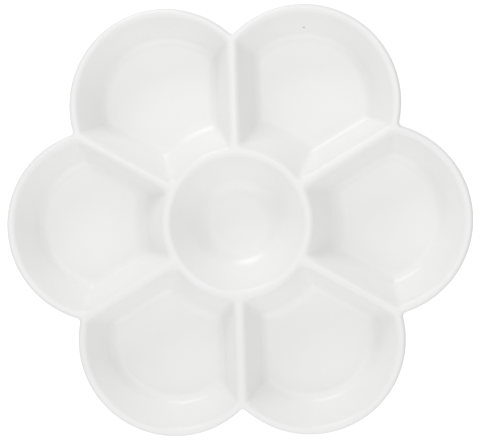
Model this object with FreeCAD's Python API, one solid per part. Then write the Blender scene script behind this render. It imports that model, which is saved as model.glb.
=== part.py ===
import FreeCAD, Part
import math
import os

# A six-petal mixing palette: one shallow thin-walled moulding, with six petal wells round a centre well.
#
# Every well is a cup with a flat floor and sloping walls. The ridges between the cups are hollow underneath,
# and the outer edge turns down into a short skirt. Nothing on the palette moves or comes apart, so the nodes
# are the sections that its creases divide it into: floors, outer walls, dividers and the centre ring. They
# meet face to face on upright cuts and never overlap.
#
# Lengths are in millimetres and angles in radians. The origin is under the centre well, on the plane that the
# palette rests on. +Z is up and +X runs through the tip of petal 1. Petals, and the dividers that follow
# them, are numbered counterclockwise.

# Driving dimensions.
PETALS = 6
HEIGHT = 15.0
WALL = 1.6                    # thickness of the shell
PETAL_AXIS = 49.8             # palette's axis to each petal's own axis
OUTLINE_RADIUS = 35.2         # outer edge of a petal, about its own axis
NOTCH_RADIUS = 1.6            # hollow rounding of the outline between two petals
RIM_WIDTH = 2.65              # flat width of the rim's top before it is rounded
WALL_RUN = 7.8                # how far an outer wall slopes inwards, top to foot
DIVIDER_TOP_HALF = 1.5        # half width of a divider at its top
DIVIDER_RUN = 6.2             # how far a divider's side slopes outwards, top to foot
RING_RADIUS = 26.0            # middle of the centre ring's top
RING_TOP_HALF = 1.26          # half width of the ring at its top
RING_RUN_OUTER = 9.0          # how far the ring's outer side slopes, top to foot
RING_RUN_INNER = 10.8         # how far its inner side slopes, top to foot
CREST_ROUND = 2.3             # rounding along both edges of every ridge's top
RIM_ROUND = 1.3               # rounding of the rim's outer edge
OUTER_FILLET = 5.0            # foot of the outer walls
RING_FILLET = 7.5             # foot of the ring's outer side
CENTRE_FILLET = 11.0          # foot of the ring's inner side
CORNER_FILLET = 4.0           # foot and ends of the dividers' sides
WEB = 2.5                     # solid depth at the top of a ridge, above its hollow
SKIRT_THICKNESS = 1.6
SKIRT_DROP = 3.6              # rim's top to the skirt's lower edge
SKIRT_ROUND = 0.5
GATE_RADIUS = 4.0             # shallow recess of the moulding gate, under the centre well
GATE_DEPTH = 0.5
GATE_STUB_RADIUS = 1.2        # what is left of the gate inside its recess
GATE_STUB_LENGTH = 0.3

# Worked out from them.
DEPTH = HEIGHT - WALL
HALF_SECTOR = math.pi / PETALS
RIM_INNER_RADIUS = OUTLINE_RADIUS - RIM_WIDTH
PETAL_FOOT = RIM_INNER_RADIUS - WALL_RUN
DIVIDER_FOOT = DIVIDER_TOP_HALF + DIVIDER_RUN
RING_FOOT_OUTER = RING_RADIUS + RING_TOP_HALF + RING_RUN_OUTER
RING_FOOT_INNER = RING_RADIUS - RING_TOP_HALF - RING_RUN_INNER
OUTER_SLOPE = math.atan2(DEPTH, WALL_RUN)
DIVIDER_SLOPE = math.atan2(DEPTH, DIVIDER_RUN)
RING_SLOPE = math.atan2(DEPTH, RING_RUN_OUTER)
CENTRE_SLOPE = math.atan2(DEPTH, RING_RUN_INNER)
PETAL_FLAT = PETAL_FOOT - OUTER_FILLET * math.tan(OUTER_SLOPE / 2)
DIVIDER_FLAT = DIVIDER_FOOT + CORNER_FILLET * math.tan(DIVIDER_SLOPE / 2)
RING_FLAT = RING_FOOT_OUTER + RING_FILLET * math.tan(RING_SLOPE / 2)
CENTRE_FLAT = RING_FOOT_INNER - CENTRE_FILLET * math.tan(CENTRE_SLOPE / 2)
AXIS_ALONG = PETAL_AXIS * math.cos(HALF_SECTOR)     # petal's axis, measured along its divider
AXIS_ACROSS = PETAL_AXIS * math.sin(HALF_SECTOR)    # petal's axis, measured across its divider
NOTCH_REACH = OUTLINE_RADIUS + NOTCH_RADIUS         # petal's axis to the centre of the notch's rounding
NOTCH_ALONG = AXIS_ALONG + math.sqrt(NOTCH_REACH ** 2 - AXIS_ACROSS ** 2)
WEB_Z = HEIGHT - WEB
SKIRT_Z = HEIGHT - SKIRT_DROP

SPARE = 1.0                   # how far a cutting shape runs past what it cuts
FAR = 120.0                   # a radius outside the whole palette
TOUCH = 1e-3                  # how near a point counts as lying on a surface
SHARES = (0.0, 0.25, 0.5, 0.75, 1.0)
SIDES = (1, -1)

ORIGIN = FreeCAD.Vector(0, 0, 0)
Z_AXIS = FreeCAD.Vector(0, 0, 1)
PETAL_POINT = FreeCAD.Vector(PETAL_AXIS, 0, 0)


def polar(radius, angle, centre=ORIGIN):
    return centre + FreeCAD.Vector(radius * math.cos(angle), radius * math.sin(angle), 0)


def turned(shape, angle):
    copy = shape.copy()
    copy.rotate(ORIGIN, Z_AXIS, math.degrees(angle))
    return copy


def cylinder(radius, bottom, top, centre=ORIGIN):
    return Part.makeCylinder(radius, top - bottom, centre + Z_AXIS * bottom)


def cone(foot_radius, lean, bottom, top, centre=ORIGIN):
    """An upright cone whose radius grows by lean for each millimetre of height."""
    top_radius = foot_radius + lean * (top - bottom)
    return Part.makeCone(foot_radius, top_radius, top - bottom, centre + Z_AXIS * bottom)


def prism(points, bottom, top):
    """The upright prism over a closed outline of points on the resting plane."""
    lifted = [point + Z_AXIS * bottom for point in points]
    face = Part.Face(Part.makePolygon(lifted + lifted[:1]))
    return face.extrude(Z_AXIS * (top - bottom))


def ridge(foot_half, lean, bottom, top):
    """A straight ridge along +X. Its half width shrinks by lean for each millimetre of height."""
    top_half = foot_half - lean * (top - bottom)
    section = [(-foot_half, bottom), (foot_half, bottom), (top_half, top), (-top_half, top)]
    points = [FreeCAD.Vector(0, y, z) for y, z in section]
    face = Part.Face(Part.makePolygon(points + points[:1]))
    return face.extrude(FreeCAD.Vector(FAR, 0, 0))


def from_axis(point):
    return math.hypot(point.x, point.y)


def from_petal_axis(point):
    return math.hypot(point.x - PETAL_AXIS, point.y)


def from_divider(point, side):
    """Distance from the mid plane of the divider on one side of petal 1, counted towards the petal."""
    return point.x * math.sin(HALF_SECTOR) - side * point.y * math.cos(HALF_SECTOR)


def edges_where(shape, test):
    """The edges that pass the test at both ends and along their length."""
    found = []
    for edge in shape.Edges:
        first, last = edge.ParameterRange
        if all(test(edge.valueAt(first + (last - first) * share)) for share in SHARES):
            found.append(edge)
    return found


def cup(grow, top):
    """The hollow of petal 1's well. With grow it is larger by that much all round: the shell's underside."""
    floor = WALL - grow
    foot = PETAL_FOOT + grow * math.tan(OUTER_SLOPE / 2)
    divider_foot = DIVIDER_FOOT - grow * math.tan(DIVIDER_SLOPE / 2)
    ring_foot = RING_FOOT_OUTER - grow * math.tan(RING_SLOPE / 2)
    divider_lean = 1 / math.tan(DIVIDER_SLOPE)
    ring_lean = 1 / math.tan(RING_SLOPE)
    low = floor - SPARE
    high = top + SPARE

    shape = cone(foot, 1 / math.tan(OUTER_SLOPE), floor, top, PETAL_POINT)
    shape = shape.makeFillet(OUTER_FILLET + grow, edges_where(shape, lambda p: abs(p.z - floor) < TOUCH))
    for side in SIDES:
        cutter = ridge(divider_foot + SPARE * divider_lean, divider_lean, low, high)
        shape = shape.cut(turned(cutter, side * HALF_SECTOR))
    shape = shape.cut(cone(ring_foot + SPARE * ring_lean, -ring_lean, low, high))
    shape = max(shape.Solids, key=lambda solid: solid.CenterOfMass.x)

    def on_ring_foot(point):
        return abs(point.z - floor) < TOUCH and abs(from_axis(point) - ring_foot) < TOUCH

    shape = shape.makeFillet(RING_FILLET + grow, edges_where(shape, on_ring_foot))
    for side in SIDES:

        def on_divider_side(point):
            expected = divider_foot - (point.z - floor) * divider_lean
            return abs(from_divider(point, side) - expected) < TOUCH

        chain = [edge for edge in edges_where(shape, on_divider_side) if edge.CenterOfMass.z < top - TOUCH]
        shape = shape.makeFillet(CORNER_FILLET + grow, chain)
    return shape


def outline(inset, bottom, top):
    """The upright prism over the palette's outline, with its edge moved inwards by inset."""
    petal_radius = OUTLINE_RADIUS - inset
    notch_radius = NOTCH_RADIUS + inset
    edges = []
    for number in range(PETALS):
        petal_angle = 2 * HALF_SECTOR * number
        petal_point = polar(PETAL_AXIS, petal_angle)
        before = polar(NOTCH_ALONG, petal_angle - HALF_SECTOR)
        after = polar(NOTCH_ALONG, petal_angle + HALF_SECTOR)
        following = polar(PETAL_AXIS, petal_angle + 2 * HALF_SECTOR)
        start = petal_point + (before - petal_point) * (petal_radius / NOTCH_REACH)
        end = petal_point + (after - petal_point) * (petal_radius / NOTCH_REACH)
        next_start = following + (after - following) * (petal_radius / NOTCH_REACH)
        notch_middle = polar(NOTCH_ALONG - notch_radius, petal_angle + HALF_SECTOR)
        tip = polar(PETAL_AXIS + petal_radius, petal_angle)
        edges.append(Part.Arc(start, tip, end).toShape())
        edges.append(Part.Arc(end, notch_middle, next_start).toShape())
    face = Part.Face(Part.Wire(edges))
    face.translate(Z_AXIS * bottom)
    return face.extrude(Z_AXIS * (top - bottom))


def wedge(bottom, top):
    """Petal 1's sixth of the palette."""
    points = [ORIGIN, polar(FAR, -HALF_SECTOR), polar(FAR, HALF_SECTOR)]
    return prism(points, bottom, top)


def sector():
    """Petal 1's sixth of the moulding, outside the middle of the centre ring's top."""
    top_layer = outline(0, WEB_Z, HEIGHT)
    skirt = outline(0, SKIRT_Z, WEB_Z).cut(outline(SKIRT_THICKNESS, SKIRT_Z - SPARE, WEB_Z))
    shape = top_layer.fuse(skirt).common(wedge(-SPARE, HEIGHT + SPARE))
    shape = shape.fuse(cup(WALL, WEB_Z)).cut(cup(0, HEIGHT + SPARE))
    shape = shape.cut(cylinder(RING_RADIUS, -SPARE, HEIGHT + SPARE)).removeSplitter().Solids[0]

    def round_the_well(point):
        inside = from_petal_axis(point) < RIM_INNER_RADIUS + TOUCH
        beside = min(from_divider(point, side) for side in SIDES) > DIVIDER_TOP_HALF - TOUCH
        return abs(point.z - HEIGHT) < TOUCH and inside and beside

    def round_the_rim(point):
        return abs(point.z - HEIGHT) < TOUCH and from_petal_axis(point) > OUTLINE_RADIUS - TOUCH

    def skirt_edge(point):
        return abs(point.z - SKIRT_Z) < TOUCH and min(from_divider(point, side) for side in SIDES) > -TOUCH

    shape = shape.makeFillet(CREST_ROUND, edges_where(shape, round_the_well))
    shape = shape.makeFillet(RIM_ROUND, edges_where(shape, round_the_rim))
    low_edges = [edge for edge in edges_where(shape, skirt_edge) if edge.Length > 2 * SKIRT_THICKNESS]
    return shape.makeFillet(SKIRT_ROUND, low_edges)


def centre():
    """The centre well, out to the middle of the ring's top, as one turned shape."""
    top_inner = RING_RADIUS - RING_TOP_HALF
    lean = 1 / math.tan(CENTRE_SLOPE)
    under_foot = RING_FOOT_INNER + WALL * math.tan(CENTRE_SLOPE / 2)
    section = [(0, 0), (under_foot, 0), (under_foot + WEB_Z * lean, WEB_Z), (RING_RADIUS, WEB_Z),
               (RING_RADIUS, HEIGHT), (top_inner, HEIGHT), (RING_FOOT_INNER, WALL), (0, WALL)]
    points = [FreeCAD.Vector(x, 0, z) for x, z in section]
    shape = Part.Face(Part.makePolygon(points + points[:1])).revolve(ORIGIN, Z_AXIS, 360)

    def circle(radius, height):
        return edges_where(shape, lambda p: abs(from_axis(p) - radius) < TOUCH and abs(p.z - height) < TOUCH)

    shape = shape.makeFillet(CENTRE_FILLET, circle(RING_FOOT_INNER, WALL))
    shape = shape.makeFillet(CENTRE_FILLET + WALL, circle(under_foot, 0))
    shape = shape.makeFillet(CREST_ROUND, circle(top_inner, HEIGHT))
    stub = cylinder(GATE_STUB_RADIUS, GATE_DEPTH - GATE_STUB_LENGTH, GATE_DEPTH)
    return shape.cut(cylinder(GATE_RADIUS, -SPARE, GATE_DEPTH).cut(stub))


def divider_region(side):
    """Where the divider on one side of petal 1 lies, between the creases at its foot and at both its ends.

    It is square-ended at the ring, whose top runs on unbroken, and pointed at the notch in the rim.
    """
    ring_top = RING_RADIUS + RING_TOP_HALF
    ring_end = math.sqrt(ring_top ** 2 - DIVIDER_TOP_HALF ** 2)
    ring_corner = math.sqrt(RING_FLAT ** 2 - DIVIDER_FLAT ** 2)
    wall_corner = AXIS_ALONG + math.sqrt(PETAL_FLAT ** 2 - (AXIS_ACROSS - DIVIDER_FLAT) ** 2)
    wall_end = AXIS_ALONG + math.sqrt(RIM_INNER_RADIUS ** 2 - (AXIS_ACROSS - DIVIDER_TOP_HALF) ** 2)
    near_side = [(ring_end, DIVIDER_TOP_HALF), (ring_corner, DIVIDER_FLAT),
                 (wall_corner, DIVIDER_FLAT), (wall_end, DIVIDER_TOP_HALF)]
    far_side = [(along, -across) for along, across in reversed(near_side)]
    corners = near_side + [(NOTCH_ALONG - NOTCH_RADIUS - RIM_ROUND, 0)] + far_side
    points = [FreeCAD.Vector(along, across, 0) for along, across in corners]
    return turned(prism(points, -SPARE, HEIGHT + SPARE), side * HALF_SECTOR)


def floor_region():
    """Where petal 1's flat floor lies, inside the roundings at the foot of its walls."""
    shape = cylinder(PETAL_FLAT, -SPARE, HEIGHT + SPARE, PETAL_POINT)
    for side in SIDES:
        shape = shape.cut(turned(ridge(DIVIDER_FLAT, 0, -SPARE, HEIGHT + SPARE), side * HALF_SECTOR))
    shape = shape.cut(cylinder(RING_FLAT, -SPARE, HEIGHT + SPARE))
    return max(shape.Solids, key=lambda solid: solid.Volume)


def one_solid(shape):
    """The single solid that a shape holds, with the seams between its faces merged."""
    merged = shape.removeSplitter()
    assert len(merged.Solids) == 1, "expected one solid"
    return merged.Solids[0]


def sections():
    """Petal 1's floor and outer wall, the divider after it, the centre ring and the centre floor."""
    sixth = sector()
    middle = centre()
    before = divider_region(-1)
    after = divider_region(1)
    flat = floor_region()
    inside_ring = cylinder(RING_FLAT, -SPARE, HEIGHT + SPARE)
    centre_flat = cylinder(CENTRE_FLAT, -SPARE, HEIGHT + SPARE)

    floor = one_solid(sixth.common(flat))
    wall = one_solid(sixth.cut(flat).cut(before).cut(after).cut(inside_ring))
    half_after = sixth.common(after)
    half_before = turned(sixth.common(before), 2 * HALF_SECTOR)
    divider = one_solid(half_after.fuse(half_before))
    ring_sixth = sixth.common(inside_ring).cut(before).cut(after)
    ring = middle.cut(centre_flat)
    for number in range(PETALS):
        ring = ring.fuse(turned(ring_sixth, 2 * HALF_SECTOR * number))
    return floor, wall, divider, one_solid(ring), one_solid(middle.common(centre_flat))


def write(shape, name):
    assert shape.isValid(), name
    shape.exportStep("parts/" + name + ".step")


def main():
    os.makedirs("parts", exist_ok=True)
    floor, wall, divider, ring, centre_floor = sections()
    write(ring, "centre_ring")
    write(centre_floor, "centre_floor")
    for number in range(PETALS):
        angle = 2 * HALF_SECTOR * number
        write(turned(floor, angle), "petal_floor_%d" % (number + 1))
        write(turned(wall, angle), "petal_wall_%d" % (number + 1))
        write(turned(divider, angle), "divider_%d" % (number + 1))


main()
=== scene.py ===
import math

import bmesh
import bpy
import numpy as np
from mathutils import Matrix, Vector


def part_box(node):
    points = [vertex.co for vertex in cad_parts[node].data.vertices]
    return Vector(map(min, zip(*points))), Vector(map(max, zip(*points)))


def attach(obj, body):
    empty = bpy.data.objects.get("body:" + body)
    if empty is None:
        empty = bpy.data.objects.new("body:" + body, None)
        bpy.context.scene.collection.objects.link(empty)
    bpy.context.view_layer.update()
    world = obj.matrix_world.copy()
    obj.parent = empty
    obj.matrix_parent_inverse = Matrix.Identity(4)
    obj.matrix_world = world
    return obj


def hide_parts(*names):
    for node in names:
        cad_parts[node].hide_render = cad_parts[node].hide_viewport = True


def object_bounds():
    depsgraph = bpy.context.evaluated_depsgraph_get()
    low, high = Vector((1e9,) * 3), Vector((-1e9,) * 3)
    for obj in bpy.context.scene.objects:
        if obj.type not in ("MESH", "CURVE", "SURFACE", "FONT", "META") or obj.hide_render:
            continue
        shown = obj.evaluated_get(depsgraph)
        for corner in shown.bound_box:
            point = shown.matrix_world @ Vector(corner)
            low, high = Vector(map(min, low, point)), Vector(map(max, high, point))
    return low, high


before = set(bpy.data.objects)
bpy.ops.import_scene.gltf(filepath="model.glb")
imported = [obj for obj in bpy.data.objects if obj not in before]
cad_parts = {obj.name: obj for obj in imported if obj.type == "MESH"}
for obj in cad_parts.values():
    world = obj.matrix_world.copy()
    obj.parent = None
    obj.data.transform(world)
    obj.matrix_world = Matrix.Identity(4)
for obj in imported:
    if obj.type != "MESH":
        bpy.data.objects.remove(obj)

# The looks of a six-petal mixing palette: one glossy white moulding, seen from nearly straight above.
#
# The palette's nodes are sections of one moulding, so every piece here takes its height from the same two
# surfaces, the one that the paint touches and the one underneath. Each wall is a ramp, rounded at its crest
# and its foot, and where two walls meet one runs softly into the other. The pieces meet on upright cuts, and
# their normals come from those surfaces, so no cut shows.
#
# Lengths are in metres. Angles are in radians, apart from the softboxes' angles, which are in degrees.

MM = 0.001
PETALS = 6
SIXTH = 2 * math.pi / PETALS
HALF_SIXTH = SIXTH / 2
QUARTER_TURN = math.pi / 2
OUTLINE_GAP = 0.01 * MM       # keeps the edge a hair inside the CAD outline
cad_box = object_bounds()

# Sizes that the frame gives.
HEIGHT = cad_box[1].z
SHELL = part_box("centre_floor")[1].z
TIP_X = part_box("petal_wall_1")[1].x
PETAL_AXIS = 2 * (TIP_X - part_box("petal_wall_2")[1].x)     # palette's axis to a petal's own axis
OUTLINE_RADIUS = TIP_X - PETAL_AXIS - OUTLINE_GAP
PETAL_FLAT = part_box("petal_floor_1")[1].x - PETAL_AXIS     # floor's edge, from the petal's axis
RING_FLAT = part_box("centre_ring")[1].x                     # floor's edge, from the palette's axis
DIVIDER_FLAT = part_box("divider_2")[1].x                    # floor's edge, from a divider's mid plane
CENTRE_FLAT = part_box("centre_floor")[1].x
DIVIDER_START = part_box("divider_2")[0].y                   # where a divider leaves the ring's top

# Sizes of the moulding's walls and edges.
RIM_WIDTH = 2.65 * MM
RIM_ROUND = 1.3 * MM
NOTCH_RADIUS = 1.6 * MM
WALL_RUN = 7.8 * MM
WALL_FOOT = 5.0 * MM
DIVIDER_TOP_HALF = 1.5 * MM
DIVIDER_RUN = 6.2 * MM
DIVIDER_FOOT = 4.0 * MM
RING_RADIUS = 26.0 * MM
RING_TOP_HALF = 1.26 * MM
RING_RUN = 9.0 * MM
RING_FOOT = 7.5 * MM
CENTRE_RUN = 10.8 * MM
CENTRE_FOOT = 11.0 * MM
CREST_ROUND = 2.3 * MM
HOLLOW_ROUND = 0.6 * MM       # rounding at the top of the hollows underneath
WEB = 2.5 * MM                # solid depth above those hollows
SKIRT_THICKNESS = 1.6 * MM
SKIRT_DROP = 3.6 * MM
SKIRT_ROUND = 0.5 * MM
GATE_RADIUS = 4.0 * MM
GATE_DEPTH = 0.5 * MM
GATE_EDGE = 0.15 * MM
RING_BLEND = 0.14             # how softly a divider's side runs into the ring's, as a share of their run
WALL_BLEND = 0.05             # the same where a divider meets the outer wall

# Worked out from them.
DEPTH = HEIGHT - SHELL
WEB_Z = HEIGHT - WEB
SKIRT_Z = HEIGHT - SKIRT_DROP
RIM_INNER = OUTLINE_RADIUS - RIM_WIDTH
AXIS_ALONG = PETAL_AXIS * math.cos(HALF_SIXTH)
AXIS_ACROSS = PETAL_AXIS * math.sin(HALF_SIXTH)
NOTCH_REACH = OUTLINE_RADIUS + NOTCH_RADIUS
NOTCH_ALONG = AXIS_ALONG + math.sqrt(NOTCH_REACH ** 2 - AXIS_ACROSS ** 2)
DIVIDER_TIP = NOTCH_ALONG - NOTCH_RADIUS - SKIRT_THICKNESS
RING_CORNER = math.sqrt(RING_FLAT ** 2 - DIVIDER_FLAT ** 2)
WALL_CORNER = AXIS_ALONG + math.sqrt(PETAL_FLAT ** 2 - (AXIS_ACROSS - DIVIDER_FLAT) ** 2)
WALL_END = AXIS_ALONG + math.sqrt(RIM_INNER ** 2 - (AXIS_ACROSS - DIVIDER_TOP_HALF) ** 2)

# How finely the meshes are divided. A petal floor uses the same steps as the pieces around it.
FLANK_STEPS = 24              # along the straight side of a divider
RING_ARC_STEPS = 44           # along the ring's edge in one petal
WALL_ARC_STEPS = 96           # along a petal's outer wall, between its corners
NOTCH_STEPS = 9               # around half of a notch
CENTRE_STEPS = 120            # around the centre well's floor
RIM_PLACES = 9                # across the rim's rounded edge
SKIRT_PLACES = 5              # across each rounded edge of the skirt
FOOT_START = 0.6              # where the finer steps at a ridge's foot begin, as a share of its side's run
GRADIENT_STEP = 0.01 * MM
MERGE_DISTANCE = 0.001 * MM

# The plastic. Scales count patches to the metre.
PLASTIC_WHITE = (0.93, 0.93, 0.925)
POLYSTYRENE_IOR = 1.59
GLOSS_ROUGHNESS = 0.31
CLOUD_SCALE = 45.0
CLOUD_SHADE = 0.985            # the white's share where a cloud is darkest
CLOUD_SPAN = (0.3, 0.7)        # the part of the cloud pattern that runs from the shade to the white
HAZE_SCALE = 90.0
HAZE_SPREAD = 0.02             # how far the haze moves the roughness either way
SCUFF_SCALE = 60.0
SCUFF_STRETCH = 14.0
SCUFF_ANGLE = math.radians(35)
SCUFF_SPAN = (0.62, 0.75)      # the part of the scuff pattern over which a scuff fades in
SCUFF_ROUGHNESS = 0.03         # how much a scuff adds to the roughness
PEEL_SCALE = 260.0
PEEL_HEIGHT = 0.012 * MM
PEEL_STRENGTH = 0.5
GRAIN_SCALE = 2500.0
GRAIN_HEIGHT = 0.0015 * MM
GRAIN_STRENGTH = 0.3
FLECK_RADIUS = 0.4 * MM
FLECK_CORE = 0.4               # its darkest part, as a share of its radius
FLECK_COLOUR = (0.12, 0.11, 0.1, 1)
FLECK_BEARING = math.radians(88)      # about petal 2's own centre, from +X
FLECK_INSET = 7.8 * MM                # in from the outline

# The studio.
TABLE_GREY = 0.9
TABLE_ROUGHNESS = 0.8
TABLE_GLOW = 0.45
STUDIO_GLOW = 0.56             # even light from all around


# ---------------------------------------------------------------------------------------------------------
# The two surfaces of the moulding

def ramp(distance, slope, top, bottom, top_round, bottom_round):
    """Height on a wall that falls from top to bottom. distance counts inwards from its sharp upper corner."""
    angle = np.arctan(slope)
    ease = np.tan(angle / 2)
    run = (top - bottom) / slope
    into_top = distance + top_round * ease
    to_flat = run + bottom_round * ease - distance
    upper = top - top_round + np.sqrt(np.maximum(top_round ** 2 - into_top ** 2, 0))
    lower = bottom + bottom_round - np.sqrt(np.maximum(bottom_round ** 2 - to_flat ** 2, 0))
    height = top - distance * slope
    height = np.where(into_top < top_round * np.sin(angle), upper, height)
    height = np.where(into_top < 0, top, height)
    height = np.where(to_flat < bottom_round * np.sin(angle), lower, height)
    return np.where(to_flat < 0, bottom, height)


def soft_min(first, second, width):
    """The smaller of two shares, rounded where they are alike, and how much of it is the first."""
    largest_power = 60            # keeps the exponential finite
    smaller = -width * np.logaddexp(-first / width, -second / width)
    power = np.clip((first - second) / width, -largest_power, largest_power)
    return smaller, 1 / (1 + np.exp(power))


def mixed(first, second, weight):
    return first * weight + second * (1 - weight)


def wall_at(x, y):
    """The wall that a point stands on: distance from its upper corner, its run and its foot's rounding."""
    radius = np.hypot(x, y)
    angle = np.arctan2(y, x)
    off_petal = np.abs(angle - SIXTH * np.round(angle / SIXTH))
    across = radius * np.sin(HALF_SIXTH - off_petal)
    from_petal_axis = np.hypot(radius * np.cos(off_petal) - PETAL_AXIS, radius * np.sin(off_petal))

    divider = (across - DIVIDER_TOP_HALF) / DIVIDER_RUN
    ring = (radius - RING_RADIUS - RING_TOP_HALF) / RING_RUN
    outer = (RIM_INNER - from_petal_axis) / WALL_RUN
    inner, weight = soft_min(divider, ring, RING_BLEND)
    run = mixed(DIVIDER_RUN, RING_RUN, weight)
    foot = mixed(DIVIDER_FOOT, RING_FOOT, weight)
    share, weight = soft_min(inner, outer, WALL_BLEND)
    run = mixed(run, WALL_RUN, weight)
    foot = mixed(foot, WALL_FOOT, weight)

    in_centre = radius < RING_RADIUS
    centre = (RING_RADIUS - RING_TOP_HALF - radius) / CENTRE_RUN
    share = np.where(in_centre, centre, share)
    run = np.where(in_centre, CENTRE_RUN, run)
    foot = np.where(in_centre, CENTRE_FOOT, foot)
    return share * run, run, foot


def top_surface(x, y):
    distance, run, foot = wall_at(x, y)
    return ramp(distance, DEPTH / run, HEIGHT, SHELL, CREST_ROUND, foot)


def under_surface(x, y):
    """The shell's other side: one thickness in from every wall, and level under the ridges."""
    distance, run, foot = wall_at(x, y)
    slope = DEPTH / run
    corner = (WEB - SHELL * np.sqrt(1 + slope ** 2)) / slope
    return ramp(distance - corner, slope, WEB_Z, 0.0, HOLLOW_ROUND, foot + SHELL)


def lifted(surface, x, y, facing):
    """Points on a surface, with its normals: facing is 1 where it faces up and -1 where it faces down."""
    x, y = np.broadcast_arrays(x, y)
    step = GRADIENT_STEP
    slope_x = (surface(x + step, y) - surface(x - step, y)) / (2 * step)
    slope_y = (surface(x, y + step) - surface(x, y - step)) / (2 * step)
    normals = np.stack([-slope_x, -slope_y, np.ones_like(slope_x)], axis=-1) * facing
    normals /= np.linalg.norm(normals, axis=-1, keepdims=True)
    return np.stack([x, y, surface(x, y)], axis=-1), normals


# ---------------------------------------------------------------------------------------------------------
# Meshes: every piece is a closed section, swept over stations

def spread(*stops):
    """Numbers from the first stop to the last. Each further stop is a pair: a value, and steps up to it."""
    values = [stops[0]]
    for stop, steps in stops[1:]:
        values.extend(np.linspace(values[-1], stop, steps + 1)[1:])
    return np.array(values)


def turned(vectors, angle):
    turn = np.array(Matrix.Rotation(angle, 3, "Z"))
    return vectors @ turn.T


def swept_mesh(name, points, normals, cuts, around, closed_section=True):
    """A mesh from points[station, place]. cuts names the places whose faces lie on a cut, and are flat.

    around joins the last station to the first. Otherwise both ends are closed with a face.
    """
    stations, places = points.shape[:2]
    index = np.arange(stations * places).reshape(stations, places)
    faces = []
    cut_faces = []
    for station in range(stations if around else stations - 1):
        here = index[station]
        there = index[(station + 1) % stations]
        for place in range(places if closed_section else places - 1):
            after = (place + 1) % places
            faces.append((here[place], there[place], there[after], here[after]))
            cut_faces.append(place in cuts)
    if not around:
        faces.append(tuple(index[0]))
        faces.append(tuple(index[-1][::-1]))
        cut_faces.extend([True, True])
    mesh = bpy.data.meshes.new(name)
    mesh.from_pydata(points.reshape(-1, 3).tolist(), [], [tuple(map(int, face)) for face in faces])
    shade = mesh.attributes.new("surface_normal", "FLOAT_VECTOR", "POINT")
    shade.data.foreach_set("vector", normals.astype(np.float32).ravel())
    cut = mesh.attributes.new("on_cut", "BOOLEAN", "FACE")
    cut.data.foreach_set("value", np.array(cut_faces, dtype=bool))
    tidy_mesh(mesh)
    shade_mesh(mesh)
    return mesh


def tidy_mesh(mesh):
    """Merges the points that fall together at tips and middles, and drops the empty faces between them."""
    work = bmesh.new()
    work.from_mesh(mesh)
    bmesh.ops.remove_doubles(work, verts=work.verts, dist=MERGE_DISTANCE)
    bmesh.ops.dissolve_degenerate(work, edges=work.edges, dist=MERGE_DISTANCE)
    bmesh.ops.recalc_face_normals(work, faces=work.faces)
    work.to_mesh(mesh)
    work.free()


def read_field(elements, field, kind, width=1):
    """One field of every element, as an array. width is how many numbers each element has in it."""
    values = np.empty(len(elements) * width, dtype=kind)
    elements.foreach_get(field, values)
    return values if width == 1 else values.reshape(-1, width)


def shade_mesh(mesh):
    """Smooth shading from the moulding's own surfaces, and flat shading on the cuts."""
    vertex_of = read_field(mesh.loops, "vertex_index", np.int32)
    shade = read_field(mesh.attributes["surface_normal"].data, "vector", np.float32, width=3)
    on_cut = read_field(mesh.attributes["on_cut"].data, "value", bool)
    face_normals = read_field(mesh.polygons, "normal", np.float32, width=3)
    corners_on = read_field(mesh.polygons, "loop_total", np.int32)
    face_of = np.repeat(np.arange(len(corners_on)), corners_on)
    corner_normals = np.where(on_cut[face_of, None], face_normals[face_of], shade[vertex_of])
    mesh.attributes.remove(mesh.attributes["surface_normal"])
    mesh.attributes.remove(mesh.attributes["on_cut"])
    mesh.polygons.foreach_set("use_smooth", np.ones(len(corners_on), dtype=bool))
    mesh.normals_split_custom_set(corner_normals.tolist())


def add_piece(node, points, normals, cuts, around, closed_section=True):
    """Adds the piece that stands for a node, on its body, and hides the node."""
    name = node + "_moulding"
    mesh = swept_mesh(name, points, normals, cuts, around, closed_section)
    piece = bpy.data.objects.new(name, mesh)
    bpy.context.scene.collection.objects.link(piece)
    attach(piece, "root")
    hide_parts(node)
    return piece


# ---------------------------------------------------------------------------------------------------------
# Plans of the sections. A place beside a divider is (along it, across it towards petal 1).
# Each piece's function gives its points[station, place], their normals, and the places that lie on a cut.

def from_divider(along, across):
    """Turns places beside the divider after petal 1 into x and y."""
    cosine = math.cos(HALF_SIXTH)
    sine = math.sin(HALF_SIXTH)
    return along * cosine + across * sine, along * sine - across * cosine


def ring_side():
    """The divider's edge against the ring, from its mid plane to the floor."""
    across = spread(0, (DIVIDER_TOP_HALF, 5), (DIVIDER_FLAT, 30))
    along = np.interp(across, [DIVIDER_TOP_HALF, DIVIDER_FLAT], [DIVIDER_START, RING_CORNER])
    return along, across


def wall_side():
    """The divider's edge against the outer wall, from the floor to its tip in the notch."""
    across = spread(DIVIDER_FLAT, (DIVIDER_TOP_HALF, 28), (0, 6))
    corners = [0, DIVIDER_TOP_HALF, DIVIDER_FLAT]
    along = np.interp(across, corners, [DIVIDER_TIP, WALL_END, WALL_CORNER])
    return along, across


def shell_sections(x, y):
    """Closed sections between the two surfaces, with an upright cut at each end."""
    top, top_normals = lifted(top_surface, x, y, 1)
    under, under_normals = lifted(under_surface, x, y, -1)
    points = np.concatenate([top, under[:, ::-1]], axis=1)
    normals = np.concatenate([top_normals, under_normals[:, ::-1]], axis=1)
    places = x.shape[1]
    return points, normals, {places - 1, 2 * places - 1}


def divider_stations():
    """Places along a divider, with its half width at each."""
    start_along, start_across = ring_side()
    end_along, end_across = wall_side()
    squared = start_across >= DIVIDER_TOP_HALF
    flank = spread(RING_CORNER, (WALL_CORNER, FLANK_STEPS))[1:-1]
    along = np.concatenate([start_along[squared], flank, end_along])
    across = np.concatenate([start_across[squared], np.full_like(flank, DIVIDER_FLAT), end_across])
    return along, across


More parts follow.
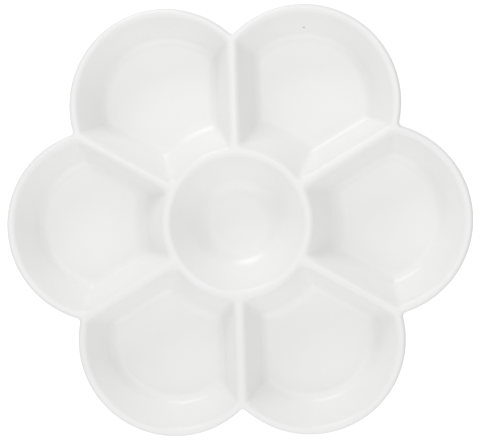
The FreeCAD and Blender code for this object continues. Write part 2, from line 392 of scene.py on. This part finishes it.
def divider():
    along, half_width = divider_stations()
    crest_end = 2 * DIVIDER_TOP_HALF      # the fine steps over the crest end here
    foot_start = DIVIDER_TOP_HALF + FOOT_START * DIVIDER_RUN
    half = spread(0, (crest_end, 12), (foot_start, 5), (DIVIDER_FLAT, 14)) / DIVIDER_FLAT
    shares = np.concatenate([-half[:0:-1], half])
    return shell_sections(*from_divider(along[:, None], half_width[:, None] * shares))


def ring_outline():
    """The outer edge of the ring's section over one sixth, from one divider's mid plane to the next."""
    along, across = ring_side()
    x, y = from_divider(along, across)
    corner_angle = math.atan2(y[-1], x[-1])
    arc = spread(corner_angle, (-corner_angle, RING_ARC_STEPS))[1:-1]
    x = np.concatenate([x, RING_FLAT * np.cos(arc), x[::-1]])
    y = np.concatenate([y, RING_FLAT * np.sin(arc), -y[::-1]])
    return x[::-1][:-1], y[::-1][:-1]


def centre_ring():
    """The ring, with stations around it. Its inner side is round, and its outer side follows ring_outline."""
    sixth_x, sixth_y = ring_outline()
    outline = np.stack([sixth_x, sixth_y, np.zeros_like(sixth_x)], axis=-1)
    outline = np.concatenate([turned(outline, SIXTH * number) for number in range(PETALS)])
    angle = np.arctan2(outline[:, 1], outline[:, 0])[:, None]
    reach = np.hypot(outline[:, 0], outline[:, 1])[:, None]

    past_top = 0.8 * MM            # how far the fine steps over the crest reach past its upper corner
    crest_start = RING_RADIUS - (RING_TOP_HALF + past_top)
    foot_end = RING_RADIUS - RING_TOP_HALF - FOOT_START * CENTRE_RUN
    inside = spread(CENTRE_FLAT, (foot_end, 14), (crest_start, 5), (RING_RADIUS, 8))
    crest_share = 0.18             # the same outwards, as a share of the way to the outer edge
    foot_share = 0.5               # where the finer steps at the foot begin
    outside = spread(0, (crest_share, 8), (foot_share, 6), (1, 14))[1:]
    radius = np.concatenate([np.broadcast_to(inside, (len(reach), len(inside))),
                             RING_RADIUS + (reach - RING_RADIUS) * outside], axis=1)
    return shell_sections(radius * np.cos(angle), radius * np.sin(angle))


def floor_section(edge_x, edge_y, middle_x, shares, under_height):
    """A flat floor inside a closed edge. shares are the places from its middle out to that edge."""
    x = middle_x + (edge_x[:, None] - middle_x) * shares
    y = edge_y[:, None] * shares
    top, top_normals = lifted(top_surface, x, y, 1)
    under = np.stack([x, y, np.broadcast_to(under_height, x.shape)], axis=-1)
    down = np.broadcast_to([0.0, 0.0, -1.0], under.shape)
    points = np.concatenate([top, under[:, ::-1]], axis=1)
    normals = np.concatenate([top_normals, down], axis=1)
    return points, normals, {len(shares) - 1}


def petal_floor():
    """Petal 1's floor, inside the roundings at the foot of its walls."""
    flank = spread(RING_CORNER, (WALL_CORNER, FLANK_STEPS))
    flank_x, flank_y = from_divider(flank, np.full_like(flank, DIVIDER_FLAT))
    ring_angle = math.atan2(flank_y[0], flank_x[0])
    wall_angle = math.atan2(flank_y[-1], flank_x[-1] - PETAL_AXIS)
    ring_arc = spread(-ring_angle, (ring_angle, RING_ARC_STEPS))[:-1]
    wall_arc = spread(wall_angle, (-wall_angle, WALL_ARC_STEPS))[:-1]
    x = np.concatenate([RING_FLAT * np.cos(ring_arc), flank_x[:-1],
                        PETAL_AXIS + PETAL_FLAT * np.cos(wall_arc), flank_x[:0:-1]])
    y = np.concatenate([RING_FLAT * np.sin(ring_arc), flank_y[:-1],
                        PETAL_FLAT * np.sin(wall_arc), -flank_y[:0:-1]])
    finer_from = 0.7               # share of the way out beyond which the places are closer together
    shares = spread(0, (finer_from, 5), (1, 12))
    middle_x = (RING_FLAT + PETAL_AXIS + PETAL_FLAT) / 2
    return floor_section(x[::-1], y[::-1], middle_x, shares, 0.0)


def centre_floor():
    """The centre well's floor, with the shallow recess of the moulding gate underneath."""
    angle = np.linspace(0, 2 * math.pi, CENTRE_STEPS, endpoint=False)
    radii = spread(0, (GATE_RADIUS - GATE_EDGE, 4), (GATE_RADIUS, 3), (CENTRE_FLAT, 12))
    recess = np.interp(radii, [GATE_RADIUS - GATE_EDGE, GATE_RADIUS], [GATE_DEPTH, 0.0])
    edge_x = CENTRE_FLAT * np.cos(angle)
    edge_y = CENTRE_FLAT * np.sin(angle)
    return floor_section(edge_x[::-1], edge_y[::-1], 0.0, radii / CENTRE_FLAT, recess)


def outline_places(steps_around, steps_to_notch, inset):
    """Half of petal 1's edge, moved inwards by inset, from its tip to the middle of the notch.

    Gives x, y and the direction that the edge faces, outwards and level.
    """
    corner_x, corner_y = from_divider(WALL_CORNER, DIVIDER_FLAT)
    corner_angle = math.atan2(corner_y, corner_x - PETAL_AXIS)
    notch_x, notch_y = from_divider(NOTCH_ALONG, 0)
    notch_angle = math.atan2(notch_y, notch_x - PETAL_AXIS)
    angle = spread(0, (corner_angle, steps_around), (notch_angle, steps_to_notch))
    radius = OUTLINE_RADIUS - inset
    x = PETAL_AXIS + radius * np.cos(angle)
    y = radius * np.sin(angle)
    turn = spread(notch_angle, (HALF_SIXTH, NOTCH_STEPS))[1:]
    notch_radius = NOTCH_RADIUS + inset
    x = np.concatenate([x, notch_x - notch_radius * np.cos(turn)])
    y = np.concatenate([y, notch_y - notch_radius * np.sin(turn)])
    facing = np.concatenate([angle, turn])
    return x, y, np.stack([np.cos(facing), np.sin(facing), np.zeros_like(facing)], axis=-1)


def rounded_edge(inset, height, radius, first_facing, places):
    """A quarter turn downwards about the middle of a rounding. first_facing is 0 where it starts facing out.

    Each entry is an inset from the outline, a height, and how far its normal faces outwards and upwards.
    """
    entries = []
    for facing in first_facing - np.linspace(0, QUARTER_TURN, places):
        out = math.cos(facing)
        up = math.sin(facing)
        entries.append((inset - radius * out, height + radius * up, out, up))
    return entries


def edge_section():
    """The rim's rounded edge and the skirt, from its top round to its inner side."""
    skirt_middle = SKIRT_Z + SKIRT_ROUND
    skirt_inner = SKIRT_THICKNESS - SKIRT_ROUND
    return (rounded_edge(RIM_ROUND, HEIGHT - RIM_ROUND, RIM_ROUND, QUARTER_TURN, RIM_PLACES)
            + rounded_edge(SKIRT_ROUND, skirt_middle, SKIRT_ROUND, 0, SKIRT_PLACES)
            + rounded_edge(skirt_inner, skirt_middle, SKIRT_ROUND, -QUARTER_TURN, SKIRT_PLACES))


def petal_wall():
    """Petal 1's outer wall with its rim and skirt, from the middle of one notch to the next."""
    side_along, side_across = wall_side()
    side_x, side_y = from_divider(side_along, side_across)
    steps_around = WALL_ARC_STEPS // 2
    steps = (steps_around, len(side_x) - 1 - NOTCH_STEPS)
    corner_angle = math.atan2(side_y[0], side_x[0] - PETAL_AXIS)
    arc = spread(0, (corner_angle, steps_around))[:-1]
    inner_x = np.concatenate([PETAL_AXIS + PETAL_FLAT * np.cos(arc), side_x])
    inner_y = np.concatenate([PETAL_FLAT * np.sin(arc), side_y])

    crest_share = 0.36             # the fine steps over the rim end here, from the skirt to the floor
    foot_share = 0.8               # where the finer steps at the foot begin
    shares = spread(0, (crest_share, 13), (foot_share, 6), (1, 9))
    skirt_x, skirt_y, _ = outline_places(*steps, SKIRT_THICKNESS)
    x = mixed(skirt_x[:, None], inner_x[:, None], shares)
    y = mixed(skirt_y[:, None], inner_y[:, None], shares)
    top, top_normals = lifted(top_surface, x, y, 1)
    under, under_normals = lifted(under_surface, x, y, -1)

    edge_points = []
    edge_normals = []
    for inset, height, out, up in edge_section():
        x, y, outwards = outline_places(*steps, inset)
        edge_points.append(np.stack([x, y, np.full_like(x, height)], axis=-1))
        edge_normals.append(outwards * out + np.array([0, 0, up]))
    points = np.concatenate([top, np.stack(edge_points, axis=1), under[:, ::-1]], axis=1)
    normals = np.concatenate([top_normals, np.stack(edge_normals, axis=1), under_normals[:, ::-1]], axis=1)
    mirror = np.array([1, -1, 1])
    points = np.concatenate([points[:0:-1] * mirror, points])
    normals = np.concatenate([normals[:0:-1] * mirror, normals])
    return points, normals, {points.shape[1] - 1}


def build_palette():
    pieces = [add_piece("centre_ring", *centre_ring(), around=True),
              add_piece("centre_floor", *centre_floor(), around=True, closed_section=False)]
    repeated = {
        "petal_floor": (petal_floor(), {"around": True, "closed_section": False}),
        "petal_wall": (petal_wall(), {"around": False}),
        "divider": (divider(), {"around": False}),
    }
    for node, ((points, normals, cuts), options) in repeated.items():
        for number in range(PETALS):
            angle = SIXTH * number
            name = "%s_%d" % (node, number + 1)
            pieces.append(add_piece(name, turned(points, angle), turned(normals, angle), cuts, **options))
    return pieces


# ---------------------------------------------------------------------------------------------------------
# Materials. place is the position on the object that a pattern is read at.

def add_node(tree, kind, name, **values):
    """A shader node with its settings: a name in lower case is a property, any other is an input."""
    node = tree.nodes.new(kind)
    node.name = name
    for key, value in values.items():
        if key.islower():
            setattr(node, key, value)
        else:
            node.inputs[key.replace("_", " ")].default_value = value
    return node


def add_noise(tree, name, place, scale, detail, roughness):
    """A noise pattern read at a place."""
    noise = add_node(tree, "ShaderNodeTexNoise", name, Scale=scale, Detail=detail, Roughness=roughness)
    tree.links.new(place, noise.inputs["Vector"])
    return noise.outputs["Fac"]


def add_bump(tree, name, pattern, strength, height):
    """A bump that follows a pattern."""
    bump = add_node(tree, "ShaderNodeBump", name, Strength=strength, Distance=height)
    tree.links.new(pattern, bump.inputs["Height"])
    return bump


def resin_white(tree, place):
    """A barely warm white with soft clouds a touch darker, as in resin that cooled slowly."""
    clouds = add_noise(tree, "resin_clouds", place, CLOUD_SCALE, detail=3.0, roughness=0.55)
    tints = add_node(tree, "ShaderNodeValToRGB", "resin_tints")
    shaded = [channel * CLOUD_SHADE for channel in PLASTIC_WHITE]
    for element, position, colour in zip(tints.color_ramp.elements, CLOUD_SPAN, (shaded, PLASTIC_WHITE)):
        element.position = position
        element.color = (*colour, 1)
    tree.links.new(clouds, tints.inputs["Fac"])
    return tints.outputs["Color"]


def fleck_place():
    x = PETAL_AXIS * math.cos(SIXTH) + (OUTLINE_RADIUS - FLECK_INSET) * math.cos(FLECK_BEARING)
    y = PETAL_AXIS * math.sin(SIXTH) + (OUTLINE_RADIUS - FLECK_INSET) * math.sin(FLECK_BEARING)
    return x, y, float(top_surface(np.array([x]), np.array([y]))[0])


def with_fleck(tree, place, colour):
    """The colour with one fleck of dark dust set in the face of petal 2's outer wall."""
    away = add_node(tree, "ShaderNodeVectorMath", "from_fleck", operation="DISTANCE")
    away.inputs[1].default_value = fleck_place()
    shape = add_node(tree, "ShaderNodeMapRange", "fleck_shape", interpolation_type="SMOOTHSTEP")
    shape.inputs["From Min"].default_value = FLECK_RADIUS * FLECK_CORE
    shape.inputs["From Max"].default_value = FLECK_RADIUS
    fleck = add_node(tree, "ShaderNodeMix", "fleck", data_type="RGBA")
    fleck.inputs["A"].default_value = FLECK_COLOUR
    tree.links.new(place, away.inputs[0])
    tree.links.new(away.outputs["Value"], shape.inputs["Value"])
    tree.links.new(shape.outputs["Result"], fleck.inputs["Factor"])
    tree.links.new(colour, fleck.inputs["B"])
    return fleck.outputs["Result"]


def worn_roughness(tree, place):
    """The roughness of a polished mould, hazier in patches and along narrow scuffs."""
    haze = add_noise(tree, "haze", place, HAZE_SCALE, detail=4.0, roughness=0.6)
    squeeze = add_node(tree, "ShaderNodeMapping", "scuff_direction")
    squeeze.inputs["Rotation"].default_value = (0, 0, SCUFF_ANGLE)
    squeeze.inputs["Scale"].default_value = (1, SCUFF_STRETCH, 1)
    scuffs = add_noise(tree, "scuffs", squeeze.outputs["Vector"], SCUFF_SCALE, detail=2.0, roughness=0.5)
    hazy = add_node(tree, "ShaderNodeMapRange", "haze_roughness")
    hazy.inputs["To Min"].default_value = GLOSS_ROUGHNESS - HAZE_SPREAD
    hazy.inputs["To Max"].default_value = GLOSS_ROUGHNESS + HAZE_SPREAD
    scuffed = add_node(tree, "ShaderNodeMapRange", "scuff_roughness")
    scuffed.inputs["From Min"].default_value = SCUFF_SPAN[0]
    scuffed.inputs["From Max"].default_value = SCUFF_SPAN[1]
    scuffed.inputs["To Max"].default_value = SCUFF_ROUGHNESS
    total = add_node(tree, "ShaderNodeMath", "roughness", operation="ADD")
    tree.links.new(place, squeeze.inputs["Vector"])
    tree.links.new(haze, hazy.inputs["Value"])
    tree.links.new(scuffs, scuffed.inputs["Value"])
    tree.links.new(hazy.outputs["Result"], total.inputs[0])
    tree.links.new(scuffed.outputs["Result"], total.inputs[1])
    return total.outputs["Value"]


def moulded_surface(tree, place):
    """The slow waves of orange peel, with a much finer grain on them."""
    peel = add_noise(tree, "orange_peel", place, PEEL_SCALE, detail=2.0, roughness=0.4)
    grain = add_noise(tree, "grain", place, GRAIN_SCALE, detail=3.0, roughness=0.5)
    peel_bump = add_bump(tree, "peel_bump", peel, PEEL_STRENGTH, PEEL_HEIGHT)
    grain_bump = add_bump(tree, "grain_bump", grain, GRAIN_STRENGTH, GRAIN_HEIGHT)
    tree.links.new(peel_bump.outputs["Normal"], grain_bump.inputs["Normal"])
    return grain_bump.outputs["Normal"]


def white_plastic():
    """Glossy white polystyrene: a faint orange peel, hazy patches, faint scuffs and one dark fleck."""
    material = bpy.data.materials.new("white_plastic")
    material.use_nodes = True
    tree = material.node_tree
    shader = tree.nodes["Principled BSDF"]
    shader.inputs["IOR"].default_value = POLYSTYRENE_IOR
    place = add_node(tree, "ShaderNodeTexCoord", "place").outputs["Object"]
    colour = with_fleck(tree, place, resin_white(tree, place))
    tree.links.new(colour, shader.inputs["Base Color"])
    tree.links.new(worn_roughness(tree, place), shader.inputs["Roughness"])
    tree.links.new(moulded_surface(tree, place), shader.inputs["Normal"])
    return material


def table_material():
    """A matt white table that glows a little, so that it stays as pale as a lit studio sweep."""
    material = bpy.data.materials.new("table_white")
    material.use_nodes = True
    shader = material.node_tree.nodes["Principled BSDF"]
    shader.inputs["Base Color"].default_value = (TABLE_GREY, TABLE_GREY, TABLE_GREY, 1)
    shader.inputs["Roughness"].default_value = TABLE_ROUGHNESS
    shader.inputs["Specular IOR Level"].default_value = 0.0
    shader.inputs["Emission Color"].default_value = (1, 1, 1, 1)
    shader.inputs["Emission Strength"].default_value = TABLE_GLOW
    return material


# ---------------------------------------------------------------------------------------------------------
# Stage, camera and lights

def build_table():
    """A white table, level around the palette. It curves up behind it on every side, as a sweep does."""
    half_size = 3.0
    level_radius = 1.2
    rise = 0.46                         # its height one metre beyond the level part
    grid_steps = 60
    mesh = bpy.data.meshes.new("table_top")
    work = bmesh.new()
    bmesh.ops.create_grid(work, x_segments=grid_steps, y_segments=grid_steps, size=half_size)
    for vertex in work.verts:
        beyond = max(0.0, vertex.co.length - level_radius)
        vertex.co.z = rise * beyond ** 2
    for face in work.faces:
        face.smooth = True
    work.to_mesh(mesh)
    work.free()
    table = bpy.data.objects.new("table_top", mesh)
    table.location.z = cad_box[0].z
    bpy.context.scene.collection.objects.link(table)
    table.data.materials.append(table_material())
    table.visible_diffuse = False       # its glow doesn't light the palette's rim from below
    table.visible_glossy = False
    table.visible_shadow = False        # the studio's light comes in past its raised edge


def build_camera():
    """A camera over the palette, leaning a few degrees from straight above."""
    height = 0.45                           # above the rim
    lean_right = math.radians(3.95)
    lean_far = math.radians(4.37)
    roll = math.radians(-1.685)
    aim = Vector((1.10, 1.39, 0)) * MM      # where it looks, on the rim's plane
    aim.z = HEIGHT
    palette_widths = 1.019                  # how many of them fit across the picture, at the rim
    shown_width = palette_widths * (cad_box[1].x - cad_box[0].x)
    data = bpy.data.cameras.new("camera")
    data.sensor_width = 36
    data.lens = data.sensor_width * height / shown_width
    camera = bpy.data.objects.new("camera", data)
    place = aim + Vector((math.tan(lean_right), math.tan(lean_far), 1)) * height
    backwards = (place - aim).normalized()
    right = Vector((-math.sin(roll), math.cos(roll), 0)).cross(backwards).normalized()
    up = backwards.cross(right)
    turn = Matrix((right, up, backwards)).transposed().to_4x4()
    camera.matrix_world = Matrix.Translation(place) @ turn
    bpy.context.scene.collection.objects.link(camera)
    bpy.context.scene.camera = camera


def add_softbox(name, bearing, elevation, distance, width, depth, power):
    """A soft light that faces the palette.

    bearing and elevation are in degrees, and bearing counts counterclockwise from +X.
    """
    bearing = math.radians(bearing)
    elevation = math.radians(elevation)
    flat = distance * math.cos(elevation)
    place = Vector((flat * math.cos(bearing), flat * math.sin(bearing), distance * math.sin(elevation)))
    data = bpy.data.lights.new(name, "AREA")
    data.shape = "RECTANGLE"
    data.size = width
    data.size_y = depth
    data.energy = power
    light = bpy.data.objects.new(name, data)
    light.location = place
    light.rotation_mode = "QUATERNION"
    light.rotation_quaternion = (-place).to_track_quat("-Z", "Y")
    light.visible_camera = False
    bpy.context.scene.collection.objects.link(light)


def build_lights():
    """A white studio: a low key from the far left, a large fill from the near side, and a panel above."""
    add_softbox("key", bearing=110, elevation=24, distance=0.8, width=0.45, depth=0.2, power=1.3)
    add_softbox("fill", bearing=270, elevation=35, distance=0.8, width=1.0, depth=0.7, power=1.7)
    add_softbox("overhead", bearing=90, elevation=75, distance=0.6, width=0.6, depth=0.5, power=0.8)
    world = bpy.data.worlds.new("world")
    world.use_nodes = True
    world.node_tree.nodes["Background"].inputs["Color"].default_value = (1, 1, 1, 1)
    world.node_tree.nodes["Background"].inputs["Strength"].default_value = STUDIO_GLOW
    bpy.context.scene.world = world
    bpy.context.scene.view_settings.view_transform = "Standard"


plastic = white_plastic()
for piece in build_palette():
    piece.data.materials.append(plastic)
build_table()
build_camera()
build_lights()
